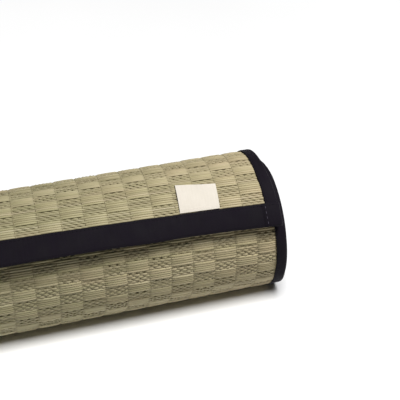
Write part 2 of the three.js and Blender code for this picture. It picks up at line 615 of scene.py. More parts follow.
@dataclass(frozen=True)
class RushFinish:
    """Dried rush: straw and olive stems, each of its own tone, with streaks along them, with
    painted light on the float blocks and painted shade on the plain-weave blocks.
    """

    name: str = "dried_rush"
    tones: Tuple[Colour, ...] = (
        (131, 123, 93),
        (148, 140, 107),
        (161, 151, 120),
        (152, 145, 109),
        (169, 160, 130),
    )
    green: Colour = (127, 123, 88)
    tan: Colour = (160, 142, 113)
    warm: Colour = (174, 153, 122)
    roughness: Tuple[float, float] = (0.5, 0.68)
    specular: float = 0.3

    def material(self) -> bpy.types.Material:
        """Builds the material."""
        graph = ShaderGraph(self.name)
        tone = graph.attribute("stem_tone")
        stops = [(i / (len(self.tones) - 1), c) for i, c in enumerate(self.tones)]
        stem = graph.ramp(tone, stops)
        along = graph.noise(graph.coords("Object", (14.0, 330.0, 330.0)), 3.0)
        green = graph.mix(graph.level(along, (0.45, 0.72), (0.0, 0.45)), stem, linear(self.green))
        patch = graph.noise(graph.coords("Object", (22.0, 60.0, 60.0)), 2.0)
        tan = graph.mix(graph.level(patch, (0.5, 0.75), (0.0, 0.38)), green, linear(self.tan))
        place = graph.coords("Object", (1.0, 1.0, 1.0))
        side = graph.node("ShaderNodeSeparateXYZ", {"Vector": place}).outputs["X"]
        warm = graph.mix(graph.level(side, (0.12, 0.3), (0.0, 0.3)), tan, linear(self.warm))
        fibre = graph.noise(graph.coords("Object", (70.0, 2600.0, 2600.0)), 2.0)
        shade = graph.level(fibre, (0.3, 0.7), (0.88, 1.1))
        # Painted light and shade: the float_share mask lightens the float blocks and darkens the
        # plain-weave blocks, standing in for how light falls on them and the shade in the plain
        # weave's gaps.
        float_share = graph.attribute("float_share")
        shade = graph.math("MULTIPLY", shade, graph.level(float_share, (0.0, 1.0), (0.88, 1.06)))
        colour = graph.mix(1.0, warm, graph.grey(shade), "MULTIPLY")
        graph.set(
            Base_Color=colour,
            Roughness=graph.level(along, (0.3, 0.7), self.roughness),
            Specular_IOR_Level=self.specular,
        )
        graph.bump(fibre, 0.00008, 0.7)
        return graph.material


@dataclass(frozen=True)
class RushBedFinish:
    """The rush between and under the stems that show, finely ribbed, and coloured darker than the
    stems as painted shade in their gaps.
    """

    name: str = "rush_bed"
    # Painted shade: these tones are darker than the stems' so that the bed reads as shade where it
    # shows between them.
    low: Colour = (82, 75, 52)
    high: Colour = (122, 114, 86)
    ribs_per_metre: float = 530.0

    def material(self) -> bpy.types.Material:
        """Builds the material."""
        graph = ShaderGraph(self.name)
        patch = graph.noise(graph.coords("UV", (90.0, 700.0, 1.0)), 3.0)
        graph.set(
            Base_Color=graph.ramp(patch, [(0.25, self.low), (0.75, self.high)]),
            Roughness=graph.level(patch, (0.3, 0.7), (0.6, 0.8)),
            Specular_IOR_Level=0.25,
        )
        place = graph.coords("UV", (1.0, self.ribs_per_metre, 1.0))
        rows = graph.node("ShaderNodeSeparateXYZ", {"Vector": place}).outputs["Y"]
        rib = graph.math("ABSOLUTE", graph.math("SINE", graph.math("MULTIPLY", rows, math.pi)))
        graph.bump(rib, 0.0005)
        return graph.material


@dataclass(frozen=True)
class ClothFinish:
    """Plain woven cloth, with its threads as fine relief along its own UV map."""

    name: str
    dark: Colour
    light: Colour
    threads_per_metre: float
    specular: float
    sheen: float
    roughness: Tuple[float, float]
    relief: float

    def material(self) -> bpy.types.Material:
        """Builds the material."""
        graph = ShaderGraph(self.name)
        count = self.threads_per_metre * math.pi
        place = graph.coords("UV", (count, count, 1.0))
        parts = graph.node("ShaderNodeSeparateXYZ", {"Vector": place})
        over = graph.math("SINE", parts.outputs["X"])
        under = graph.math("SINE", parts.outputs["Y"])
        weave = graph.level(graph.math("MULTIPLY", over, under), (-1.0, 1.0), (0.0, 1.0))
        cloud = graph.noise(graph.coords("UV", (70.0, 70.0, 1.0)), 3.0)
        slub = graph.noise(graph.coords("UV", (900.0, 60.0, 1.0)), 2.0)
        tone = graph.math("MULTIPLY_ADD", weave, 0.3, graph.math("MULTIPLY", cloud, 0.45))
        tone = graph.math("MULTIPLY_ADD", slub, 0.3, tone)
        graph.set(
            Base_Color=graph.ramp(tone, [(0.25, self.dark), (0.8, self.light)]),
            Roughness=graph.level(cloud, (0.3, 0.7), self.roughness),
            Specular_IOR_Level=self.specular,
            Sheen_Weight=self.sheen,
            Sheen_Roughness=0.5,
        )
        graph.bump(graph.math("MULTIPLY_ADD", slub, 0.5, weave), self.relief)
        return graph.material


@dataclass(frozen=True)
class ThreadFinish:
    """Spun thread, with its twist as a slanting colour change."""

    name: str
    dark: Colour
    light: Colour
    specular: float

    def material(self) -> bpy.types.Material:
        """Builds the material."""
        graph = ShaderGraph(self.name)
        twist = graph.noise(graph.coords("Object", (1500.0, 1500.0, 1500.0)), 2.0)
        graph.set(
            Base_Color=graph.ramp(twist, [(0.3, self.dark), (0.7, self.light)]),
            Roughness=graph.level(twist, (0.3, 0.7), (0.6, 0.8)),
            Specular_IOR_Level=self.specular,
        )
        graph.bump(twist, 0.0001)
        return graph.material


@dataclass(frozen=True)
class FloorFinish:
    """A plain white studio floor."""

    name: str = "studio_floor"
    low: Colour = (238, 238, 238)
    high: Colour = (243, 243, 243)

    def material(self) -> bpy.types.Material:
        """Builds the material."""
        graph = ShaderGraph(self.name)
        cloud = graph.noise(graph.coords("Object", (3.0, 3.0, 3.0)), 2.0)
        graph.set(
            Base_Color=graph.ramp(cloud, [(0.3, self.low), (0.7, self.high)]),
            Roughness=0.9,
            Specular_IOR_Level=0.1,
        )
        return graph.material


BINDING_CLOTH = ClothFinish(
    name="navy_binding_cloth",
    dark=(10, 7, 12),
    light=(22, 17, 26),
    threads_per_metre=1900.0,
    specular=0.08,
    sheen=0.02,
    roughness=(0.65, 0.85),
    relief=0.00012,
)
LABEL_CLOTH = ClothFinish(
    name="cream_label_cloth",
    dark=(188, 181, 168),
    light=(208, 201, 190),
    threads_per_metre=2200.0,
    specular=0.25,
    sheen=0.05,
    roughness=(0.75, 0.9),
    relief=0.00006,
)
SEWING_THREAD = ThreadFinish("navy_thread", (12, 10, 16), (24, 20, 29), 0.1)
CORNER_THREAD = ThreadFinish("corner_thread", (48, 45, 56), (84, 79, 90), 0.3)
WARP_CORD = ThreadFinish("warp_cord", (124, 115, 86), (148, 138, 108), 0.2)


def slab_piece(
    name: str,
    outer: np.ndarray,
    inner: np.ndarray,
    flat: np.ndarray,
    material: bpy.types.Material,
) -> bpy.types.Object:
    """Makes a closed sheet between two grids of points.

    Args:
        name: The piece's name.
        outer: Points of one face, as rows, columns and three.
        inner: Points of the other face, in the same order.
        flat: Place of each row and column on the flat cloth, in metres.
        material: The sheet's material.

    Returns:
        The piece, with a UV map in metres.
    """
    rows, columns = outer.shape[:2]
    top = np.arange(rows * columns).reshape(rows, columns)
    under = top + rows * columns
    walls = [
        (top[:-1, :-1], top[:-1, 1:], top[1:, 1:], top[1:, :-1]),
        (under[:-1, :-1], under[1:, :-1], under[1:, 1:], under[:-1, 1:]),
        (top[:-1, 0], top[1:, 0], under[1:, 0], under[:-1, 0]),
        (top[1:, -1], top[:-1, -1], under[:-1, -1], under[1:, -1]),
        (top[0, 1:], top[0, :-1], under[0, :-1], under[0, 1:]),
        (top[-1, :-1], top[-1, 1:], under[-1, 1:], under[-1, :-1]),
    ]
    quads = np.concatenate([np.stack([c.ravel() for c in wall], axis=-1) for wall in walls])
    points = np.concatenate([outer.reshape(-1, 3), inner.reshape(-1, 3)])
    corners = points[quads]
    volume = np.einsum("ij,ij->i", corners[:, 0], np.cross(corners[:, 1], corners[:, 2])).sum()
    volume += np.einsum("ij,ij->i", corners[:, 0], np.cross(corners[:, 2], corners[:, 3])).sum()
    if volume < 0:
        quads = quads[:, ::-1]
    mesh = bpy.data.meshes.new(name)
    mesh.from_pydata(points.tolist(), [], quads.tolist())
    spread = np.concatenate([flat.reshape(-1, 2), flat.reshape(-1, 2)])
    loops = np.empty(len(mesh.loops), dtype=np.int32)
    mesh.loops.foreach_get("vertex_index", loops)
    layer = mesh.uv_layers.new(name="flat_cloth")
    layer.data.foreach_set("uv", spread[loops].astype(np.float32).ravel())
    mesh.materials.append(material)
    mesh.shade_smooth()
    mesh.set_sharp_from_angle(angle=math.radians(50))
    mesh.update()
    piece = bpy.data.objects.new(name, mesh)
    bpy.context.scene.collection.objects.link(piece)
    return piece


def dress(piece: bpy.types.Object, slot: Slot, *nodes: str) -> bpy.types.Object:
    """Ties a piece to the frame and reports it.

    Args:
        piece: The finished piece.
        slot: Not used.
        nodes: The CAD nodes that it stands for.

    Returns:
        The piece.
    """
    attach(piece, BODY)
    if nodes:
        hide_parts(*nodes)
    faces = sum(len(face.vertices) - 2 for face in piece.data.polygons)
    LOG.info("%s: %d triangles", piece.name, faces)
    return piece


@dataclass
class RushMat:
    """The woven rush: a closed sheet for the whole mat, and the stems and cords that show on it."""

    winding: Winding
    field_edge: float = 289.7 * MM
    pressed_edge: float = 298.6 * MM
    pressed_half: float = 1.25 * MM
    sheet_half: float = 1.95 * MM
    bed_height: float = 0.7 * MM
    shown_length: float = 364 * MM
    row_start: float = 17.25 * MM
    row_height: float = 9.54 * MM
    stems_per_row: int = 5
    column_width: float = 18.25 * MM
    column_lean: float = 3.0 / 320.0
    right_column: float = 290.6 * MM
    column_pairs: int = 16
    stem_radius: float = 1.12 * MM
    stem_flatness: float = 0.68
    stem_sides: int = 6
    seat_height: float = 0.95 * MM
    float_rise: float = 0.5 * MM
    float_girth: float = 0.32
    float_gather: float = 0.05 * MM
    wave_height: float = 0.48 * MM
    boundary_dip: float = 0.36 * MM
    wander: float = 0.34 * MM
    press_depth: float = 0.6 * MM
    press_start: float = 288.9 * MM
    press_end: float = 290.6 * MM
    tuck: float = 4 * MM
    under_float: float = 0.42 * MM
    hem_start: float = 16.9 * MM
    hem_end: float = 18.3 * MM
    stem_pieces: int = 4
    cord_radius: float = 0.26 * MM
    cord_height: float = 1.1 * MM
    cord_swing: float = 0.42 * MM

    @property
    def stem_pitch(self) -> float:
        """Distance from one stem to the next."""
        return self.row_height / self.stems_per_row

    @property
    def stem_count(self) -> int:
        """How many stems show on the outer turn."""
        return int((self.shown_length - self.row_start) / self.stem_pitch) + 1

    def sheet(self, material: bpy.types.Material) -> bpy.types.Object:
        """Builds the closed sheet that winds from the free end to the core.

        Args:
            material: The bed's material.

        Returns:
            The piece.
        """
        shown = np.arange(1.4 * MM, self.shown_length, 3 * MM)
        ends = np.array([self.shown_length + 6 * MM, self.winding.mat_length - 1.4 * MM])
        turns = self.winding.turn_at(ends)
        inner_turns = np.arange(turns[0], turns[1], math.radians(7))
        end, pitch = self.winding.end_radius, self.winding.pitch
        wound = end * inner_turns - pitch * inner_turns**2 / (4 * math.pi)
        length = np.concatenate([shown, wound, [self.winding.mat_length - 1.4 * MM]])[:, None]
        middle = np.linspace(-self.field_edge, self.field_edge, 31)
        rim = np.array([0.4 * MM, 1.5 * MM, 5 * MM])
        right = np.concatenate([self.field_edge + rim, [self.pressed_edge]])
        across = np.concatenate([-right[::-1], middle, right])[None, :]
        field = (np.abs(across) <= self.field_edge) & (length > 17 * MM)
        field &= length < self.winding.mat_length - 17 * MM
        bed = np.where(length < self.shown_length, self.bed_height, self.sheet_half)
        outer = np.where(field, bed, np.minimum(self.pressed_half, bed))
        under = np.where(field, -self.sheet_half, -self.pressed_half)
        flat = np.stack(np.broadcast_arrays(across, length), axis=-1)
        fold = np.array(RIM_WANDER) * MM
        pulled = np.interp(length, fold[:, 0], np.minimum(fold[:, 1], 0.0))
        placed = across + np.where(across >= self.pressed_edge, pulled, 0.0)
        piece = slab_piece(
            "rush_sheet",
            self.winding.place(length, placed, outer),
            self.winding.place(length, placed, under),
            flat,
            material,
        )
        return dress(piece, Slot.RUSH, "rush_mat")

    def stems(self, material: bpy.types.Material) -> List[bpy.types.Object]:
        """Builds the stems of the outer turn, in a check of floats and plain weave.

        Args:
            material: The rush material.

        Returns:
            The pieces, each a band of stems.
        """
        graph = NodeGraph("rush_stem_weave")
        path = RollPath(graph, self.winding)
        first = graph.number("First stem", 0)
        count = graph.number("Stem count", 10)
        points = graph.number("Points per stem", 16 * self.column_pairs + 1)
        pitch = graph.number("Stem pitch", self.stem_pitch)
        start = graph.number("First row", self.row_start)
        per_row = graph.number("Stems per row", self.stems_per_row)
        column = graph.number("Column width", self.column_width)
        lean = graph.number("Column lean", self.column_lean)
        right = graph.number("Right column", self.right_column)
        radius = graph.number("Stem radius", self.stem_radius)
        seat = graph.number("Seat height", self.seat_height)
        rise = graph.number("Float rise", self.float_rise)
        wave = graph.number("Wave height", self.wave_height)
        dip = graph.number("Boundary dip", self.boundary_dip)
        press = graph.number("Press depth", self.press_depth)
        press_start = graph.number("Press start", self.press_start)
        press_end = graph.number("Press end", self.press_end)
        sides = graph.number("Stem sides", self.stem_sides)
        flatness = graph.number("Stem flatness", self.stem_flatness)
        girth = graph.number("Float girth", self.float_girth)
        gather = graph.number("Float gather", self.float_gather)
        wander = graph.number("Wander", self.wander)
        tuck = graph.number("Tuck", self.tuck)
        under = graph.number("Under float", self.under_float)
        hem_start = graph.number("Hem start", self.hem_start)
        hem_end = graph.number("Hem end", self.hem_end)

        line = graph.node("GeometryNodeCurvePrimitiveLine")
        values = {"Curve": line.outputs[0], "Count": points}
        fine = graph.node("GeometryNodeResampleCurve", values, mode="COUNT")
        values = {"Geometry": fine.outputs[0], "Amount": count}
        many = graph.node("GeometryNodeDuplicateElements", values, domain="SPLINE")
        stem = Field(graph, many.outputs["Duplicate Index"]) + first
        row = graph.math("FLOOR", (stem + 0.0) / per_row)
        index = Field(graph, graph.node("GeometryNodeSplineParameter").outputs["Index"])

        pair = graph.math("FLOOR", index / 16.0)
        step = index - pair * 16.0
        even = 1.0 - graph.math("FLOORED_MODULO", row, 2.0)
        near_steps = 4.0 + even * 8.0
        in_near = graph.math("LESS_THAN", step, near_steps)
        near = step / near_steps
        far = (step - near_steps) / (16.0 - near_steps)
        share = near * in_near + far * (1.0 - in_near)
        plain = in_near * even + (1.0 - in_near) * (1.0 - even)
        side = share * 2.0 - 1.0
        side = side + side * (1.2 - 1.2 * graph.math("ABSOLUTE", side)) * (1.0 - plain)
        share = side * 0.5 + 0.5
        place = pair * 2.0 + (1.0 - in_near) + share

        crown = side * side * side * side
        crown = 1.0 - crown * crown
        floating = (1.0 - plain) * crown
        block = stem * 64.0 + pair
        in_row = stem - row * per_row - 2.0
        drift = graph.drift(place * 0.9, stem * 0.31, 2.0) * wander * (1.0 - 0.5 * floating)
        length = start + (stem + 0.5) * pitch + drift - in_row * floating * gather
        tucked = graph.math("LESS_THAN", index, 0.5)
        tucked = tucked - graph.math("GREATER_THAN", index, points - 1.5)
        across = right - column * place + lean * length + tucked * tuck
        parity = 1.0 - 2.0 * graph.math("FLOORED_MODULO", stem, 2.0)
        phase = share * (6.0 * math.pi) + graph.random(-0.5, 0.5, block, 3)
        swing = wave * (1.0 + graph.random(-0.6, 0.6, block, 4))
        weave = graph.math("SINE", phase) * parity * swing * crown
        float_rise = rise * (1.0 + graph.random(-0.3, 0.3, block, 5))
        last = graph.math("GREATER_THAN", in_row, 1.5)
        height = (weave - under * last * crown) * plain + float_rise * floating
        height = height - dip * (1.0 - crown)
        on_right = graph.math("GREATER_THAN", across, 0.0)
        edge = graph.math("ABSOLUTE", across) - graph.table(length, LIP_WANDER) * on_right
        at_lip = graph.clamp((edge - press_start) / (press_end - press_start))
        at_hem = graph.clamp((hem_end - length) / (hem_end - hem_start))
        pressed = graph.math("MAXIMUM", at_lip, at_hem)
        height = seat + height * (1.0 - pressed) - press * pressed
        turn = path.turn(length, across)
        clear = radius * flatness
        values = {"Geometry": many.outputs[0], "Position": path.point(turn, across, height, clear)}
        laid = graph.node("GeometryNodeSetPosition", values)

        geometry = laid.outputs[0]
        # float_share carries the painted light on the floats and the painted shade on the plain
        # weave into the rush material.
        marks = (("stem_tone", graph.random(0.0, 1.0, stem, 11)), ("float_share", floating))
        for name, value in marks:
            values = {"Geometry": geometry, "Name": name, "Value": value}
            kind = "GeometryNodeStoreNamedAttribute"
            stored = graph.node(kind, values, data_type="FLOAT", domain="POINT")
            geometry = stored.outputs[0]
        upright = graph.node("GeometryNodeSetCurveNormal", {"Curve": geometry}, mode="Z_UP")
        angle = path.end_angle - turn
        tilt = graph.node("GeometryNodeSetCurveTilt", {"Curve": upright.outputs[0], "Tilt": -angle})
        values = {"Curve": tilt.outputs[0], "Radius": 1.0 + floating * girth}
        sized = graph.node("GeometryNodeSetCurveRadius", values)
        values = {"Resolution": sides, "Radius": radius}
        ring = graph.node("GeometryNodeCurvePrimitiveCircle", values)
        scale = graph.node("ShaderNodeCombineXYZ", {"X": 1.0, "Y": flatness, "Z": 1.0})
        values = {"Geometry": ring.outputs[0], "Scale": scale.outputs[0]}
        oval = graph.node("GeometryNodeTransform", values)
        values = {"Curve": sized.outputs[0], "Profile Curve": oval.outputs[0], "Fill Caps": True}
        tube = graph.node("GeometryNodeCurveToMesh", values)
        soft = graph.node("GeometryNodeSetShadeSmooth", {"Geometry": tube.outputs[0]})
        graph.close(soft.outputs[0], material)

        made = []
        bands = np.array_split(np.arange(-1, self.stem_count), self.stem_pieces)
        for number, band in enumerate(bands, 1):
            changes = {"First stem": int(band[0]), "Stem count": len(band)}
            made.append(dress(graph.bake(f"rush_stems_{number}", changes=changes), Slot.RUSH))
        return made

    def cords(self, material: bpy.types.Material) -> bpy.types.Object:
        """Builds the warp cords that part the columns of the check.

        Args:
            material: The cord's material.

        Returns:
            The piece.
        """
        graph = NodeGraph("warp_cords")
        path = RollPath(graph, self.winding)
        count = graph.number("Cord count", 2 * self.column_pairs - 1)
        points = graph.number("Points per cord", 4 * self.stem_count)
        start = graph.number("First row", self.row_start)
        shown = graph.number("Shown length", self.shown_length)
        column = graph.number("Column width", self.column_width)
        lean = graph.number("Column lean", self.column_lean)
        right = graph.number("Right column", self.right_column)
        radius = graph.number("Cord radius", self.cord_radius)
        lift = graph.number("Cord height", self.cord_height)
        swing = graph.number("Cord swing", self.cord_swing)
        pitch = graph.number("Stem pitch", self.stem_pitch)

        line = graph.node("GeometryNodeCurvePrimitiveLine")
        values = {"Curve": line.outputs[0], "Count": points}
        fine = graph.node("GeometryNodeResampleCurve", values, mode="COUNT")
        values = {"Geometry": fine.outputs[0], "Amount": count}
        many = graph.node("GeometryNodeDuplicateElements", values, domain="SPLINE")
        number = Field(graph, many.outputs["Duplicate Index"])
        share = Field(graph, graph.node("GeometryNodeSplineParameter").outputs["Factor"])
        length = start - 0.0008 + (shown - start) * share
        across = right - column * (number + 1.0) + lean * length
        across = across + graph.random(-0.0003, 0.0003, number, 7)
        turn_over = graph.math("FLOORED_MODULO", number, 2.0) * math.pi
        beat = graph.math("SINE", (length - start) / pitch * math.pi + turn_over)
        height = lift + beat * swing
        turn = path.turn(length, across)
        values = {"Geometry": many.outputs[0], "Position": path.point(turn, across, height, radius)}
        laid = graph.node("GeometryNodeSetPosition", values)
        ring = graph.node("GeometryNodeCurvePrimitiveCircle", {"Resolution": 4, "Radius": radius})
        values = {"Curve": laid.outputs[0], "Profile Curve": ring.outputs[0], "Fill Caps": True}
        tube = graph.node("GeometryNodeCurveToMesh", values)
        soft = graph.node("GeometryNodeSetShadeSmooth", {"Geometry": tube.outputs[0]})
        graph.close(soft.outputs[0], material)
        return dress(graph.bake("warp_cords"), Slot.RUSH)


@dataclass
class Binding:
    """What the cloth strips share: a cloth folded over the mat's edge, with its hem sewn down."""

    winding: Winding
    width: float
    half_height: float = 2.6 * MM
    cloth: float = 0.9 * MM
    seam_inset: float = 1.7 * MM
    stitch_pitch: float = 3.2 * MM
    pucker: float = 0.16 * MM
    wrinkle: float = 0.26 * MM

    def section(self) -> Tuple[np.ndarray, np.ndarray, np.ndarray]:
        """Gives the folded cloth's section.

        Returns:
            Outer points and inner points, as depth back from the fold and height, and the place
            of each along the flat cloth.
        """
        width, half = self.width, self.half_height
        insets = np.array([0.0, 0.3 * MM, 0.9 * MM, self.seam_inset, 2.8 * MM])
        depth = width - insets
        rest = np.linspace(width - 2.8 * MM, half, 4)[1:]
        depth = np.concatenate([depth, rest])
        lift = np.full(len(depth), half)
        lift[:2] -= np.array([0.4 * MM, 0.1 * MM])
        bend = np.radians([68.0, 45.0, 22.0, 0.0])
        arc = np.stack([half - half * np.cos(bend), half * np.sin(bend)], axis=-1)
        inner_half = half - self.cloth
        inner_arc = np.stack([half - inner_half * np.cos(bend), inner_half * np.sin(bend)], axis=-1)
        outer = np.concatenate([np.stack([depth, lift], axis=-1), arc])
        inner_flat = np.stack([depth, np.full(len(depth), inner_half)], axis=-1)
        inner = np.concatenate([inner_flat, inner_arc])
        mirror = np.array([1.0, -1.0])
        outer = np.concatenate([outer, outer[-2::-1] * mirror])
        inner = np.concatenate([inner, inner[-2::-1] * mirror])
        steps = np.linalg.norm(np.diff(outer, axis=0), axis=1)
        return outer, inner, np.concatenate([[0.0], np.cumsum(steps)])

    def relief(self, along: np.ndarray, depth: np.ndarray) -> np.ndarray:
        """Gives the puckers at the seam and the slow wrinkles of the cloth.

        Args:
            along: Place along the strip.
            depth: Depth back from the fold.

        Returns:
            The height that they add.
        """
        from_seam = (depth - (self.width - self.seam_inset)) / (0.9 * MM)
        beat = 0.55 - 0.45 * np.cos(along * math.tau / self.stitch_pitch)
        dimple = -self.pucker * np.exp(-from_seam**2) * beat
        hump = np.sin(np.pi * np.clip(depth / self.width, 0.0, 1.0))
        slow = np.sin(along * 171.0 + depth * 260.0)
        slow = slow + 0.7 * np.sin(along * 83.0 - depth * 190.0 + 1.3)
        slow = slow + 0.5 * np.sin(along * 397.0 + depth * 420.0 + 0.4)
        return dimple + self.wrinkle * hump * slow / 2.2


@dataclass
class SideBinding(Binding):
    """A strip along one long edge, wound with the mat from end to end."""

    side: Side = Side.RIGHT
    start_gap: float = 16.4 * MM
    end_gap: float = 18.1 * MM
    fine_step: float = 0.8 * MM
    shown_length: float = 372 * MM
    rim_wander: Table = RIM_WANDER
    lip_wander: Table = LIP_WANDER

    @property
    def node(self) -> str:
        """The CAD node that it stands for."""
        return f"side_binding_{self.side.name.lower()}"

    def stations(self) -> np.ndarray:
        """Gives the lengths at which the section stands, finer on the outer turn."""
        shown = np.arange(self.start_gap, self.shown_length, self.fine_step)
        last = self.winding.mat_length - self.end_gap
        turns = self.winding.turn_at(np.array([self.shown_length + 2 * MM, last]))
        wound = np.arange(turns[0], turns[1] - math.radians(3), math.radians(6))
        end, pitch = self.winding.end_radius, self.winding.pitch
        lengths = end * wound - pitch * wound**2 / (4 * math.pi)
        return np.concatenate([shown, lengths, [last]])

    def across(self, length: np.ndarray, depth: np.ndarray) -> np.ndarray:
        """Gives the place across the mat, for a depth back from the fold."""
        return self.side.value * (self.winding.half_width - depth + self.outward(length, depth))

    def outward(self, length: np.ndarray, depth: np.ndarray) -> np.ndarray:
        """Gives how far the cloth stands off its straight line, as it was folded by hand.

        Args:
            length: Distance back from the free edge.
            depth: Depth back from the fold.

        Returns:
            The shift away from the mat's middle.
        """
        rim, lip = (np.array(pairs) * MM for pairs in (self.rim_wander, self.lip_wander))
        at_rim = np.interp(length, rim[:, 0], rim[:, 1])
        at_lip = np.interp(length, lip[:, 0], lip[:, 1])
        share = np.clip(depth / self.width, 0.0, 1.0)
        return at_rim + (at_lip - at_rim) * share

    def build(self, material: bpy.types.Material) -> bpy.types.Object:
        """Builds the strip.

        Args:
            material: The cloth.

        Returns:
            The piece.
        """
        outer, inner, girth = self.section()
        length = self.stations()[:, None]
        shown = 1.0 - smooth_step(self.shown_length - 15 * MM, self.shown_length, length)
        upper = smooth_step(0.5 * MM, 1.8 * MM, outer[:, 1])[None, :]
        lift = outer[None, :, 1] + self.relief(length, outer[None, :, 0]) * upper * shown
        flat = np.stack(np.broadcast_arrays(girth[None, :], length), axis=-1)
        piece = slab_piece(
            f"binding_{self.side.name.lower()}",
            self.winding.place(length, self.across(length, outer[None, :, 0]), lift),
            self.winding.place(length, self.across(length, inner[None, :, 0]), inner[None, :, 1]),
            flat,
            material,
        )
        dress(piece, Slot.CLOTH, self.node)
        return piece

    def seam(self) -> np.ndarray:
        """Gives the line of stitches along the hem, on the outer turn."""
        first, last = self.end_gap + 1.5 * MM, self.shown_length - 12 * MM
        length = np.arange(first, last, self.stitch_pitch / 4)
        across = self.across(length, np.full(len(length), self.width - self.seam_inset))
        return self.winding.place(length, across, np.full(len(length), self.half_height))


@dataclass
class EndBinding(Binding):
    """A wider strip over one short end, which covers the mat's corners too."""

    end: MatEnd = MatEnd.FREE
    column_step: float = 1.2 * MM
    slot_edge: float = 298.9 * MM
    corner_start: float = 286.8 * MM
    corner_end: float = 288.6 * MM
    corner_rise: float = 0.95 * MM
    corner_reach: float = 3.0 * MM
    reach_start: float = 282 * MM
    label_span: Tuple[float, float] = (219 * MM, 255 * MM)
    label_rise: float = 0.5 * MM
    hang: Table = HANG
    hem_inset: float = 0.6 * MM

    @property
    def node(self) -> str:
        """The CAD node that it stands for."""
        return "end_binding_outer" if self.end is MatEnd.FREE else "end_binding_inner"

    def columns(self) -> np.ndarray:
        """Gives the places across at which the section stands, closer at the two ends."""
        half = self.winding.half_width
        rim = half - np.array([0.0, 0.25, 0.6, 1.1, 1.8, 2.6]) * MM
        step = self.column_step if self.end is MatEnd.FREE else 8 * MM
        middle = np.linspace(-half + 3.6 * MM, half - 3.6 * MM, int(2 * half / step))
        return np.concatenate([-rim, middle, rim[::-1]])

    def rise(self, across: np.ndarray, depth: np.ndarray) -> np.ndarray:
        """Gives how far the strip is lifted by what lies under it.

        Args:
            across: Place across the mat.
            depth: Depth back from the fold.

        Returns:
            The height that the side bindings and the label's hem add.
        """
        corner = smooth_step(self.corner_start, self.corner_end, np.abs(across)) * self.corner_rise
        low, high = self.label_span
        over = smooth_step(low - 3 * MM, low, across)
        over = over * (1.0 - smooth_step(high - 3 * MM, high, across))
        hem = smooth_step(self.width - 9 * MM, self.width - 2 * MM, depth)
        return corner + over * hem * self.label_rise

    def build(self, material: bpy.types.Material) -> bpy.types.Object:
        """Builds the strip.

        Args:
            material: The cloth.

        Returns:
            The piece.
        """
        outer, inner, girth = self.section()
        across = self.columns()[None, :]
        half = self.winding.half_width
        from_rim = (np.abs(across) - (half - self.half_height)) / self.half_height
        from_rim = np.clip(from_rim, 0.0, 1.0)
        round_end = np.sqrt(1.0 - 0.85 * from_rim**2)
        depth, height = outer[:, :1], outer[:, 1:]
        lift = height * round_end
        if self.end is MatEnd.FREE:
            upper = smooth_step(0.5 * MM, 1.8 * MM, height)
            raised = self.relief(across, depth) * round_end + self.rise(across, depth) * round_end
            lift = lift + raised * upper
        opening = np.where(np.abs(across) < self.slot_edge, 1.0, 0.02)
        gap = inner[:, 1:] * opening
        if self.end is MatEnd.FREE:
            gap = gap + self.rise(across, inner[:, :1]) * smooth_step(0.5 * MM, 1.5 * MM, gap)
        flat = np.stack(np.broadcast_arrays(across, girth[:, None]), axis=-1)
        name = f"binding_{self.end.value}_end"
        rim = np.where(np.abs(across) < half - 1.2 * MM, 0.0, 0.15 * MM * from_rim)
        stretched = self.stretched(across)
        piece = slab_piece(
            name,
            self.winding.place(self.length_at(depth + rim, across), stretched, lift),
            self.winding.place(self.length_at(inner[:, :1] + rim, across), stretched, gap),
            flat,
            material,
        )
        dress(piece, Slot.CLOTH, self.node)
        return piece

    def length_at(self, depth: np.ndarray, across: np.ndarray) -> np.ndarray:
        """Gives the distance back from the free edge.

        Args:
            depth: Depth back from this end's fold.
            across: Place across the mat.

        Returns:
            The distance, with the free end's fold pulled unevenly past the mat's own edge.
        """
        if self.end is MatEnd.CORE:
            return self.winding.mat_length - depth
        places, falls = np.array(self.hang).T * MM
        back = np.clip(depth / self.width, 0.0, 1.0)
        return depth - self.hem_inset * back - np.interp(across, places, falls) * (1.0 - back)

    def stretched(self, across: np.ndarray) -> np.ndarray:
        """Gives the place across with the free end's corners pulled past the mat's edge."""
        if self.end is MatEnd.CORE:
            return across
        share = smooth_step(self.reach_start, self.winding.half_width, np.abs(across))
        return across + np.sign(across) * share * self.corner_reach

    def hem(self) -> np.ndarray:
        """Gives the line of stitches along the hem."""
        across = np.arange(-298 * MM, 298 * MM, self.stitch_pitch / 4)
        depth = np.full(len(across), self.width - self.seam_inset)
        height = self.half_height + self.rise(across, depth)
        return self.winding.place(self.length_at(depth, across), across, height)

    def corners(self) -> List[np.ndarray]:
        """Gives the short bars of stitches across the corners."""
        depth = np.arange(3.5 * MM, self.width - 2.5 * MM, self.stitch_pitch / 4)
        lines = []
        for side in Side:
            place = np.full(len(depth), side.value * (self.corner_end + 0.6 * MM))
            height = self.half_height + self.rise(place, depth)
            length = self.length_at(depth, place)
            lines.append(self.winding.place(length, self.stretched(place), height))
        return lines


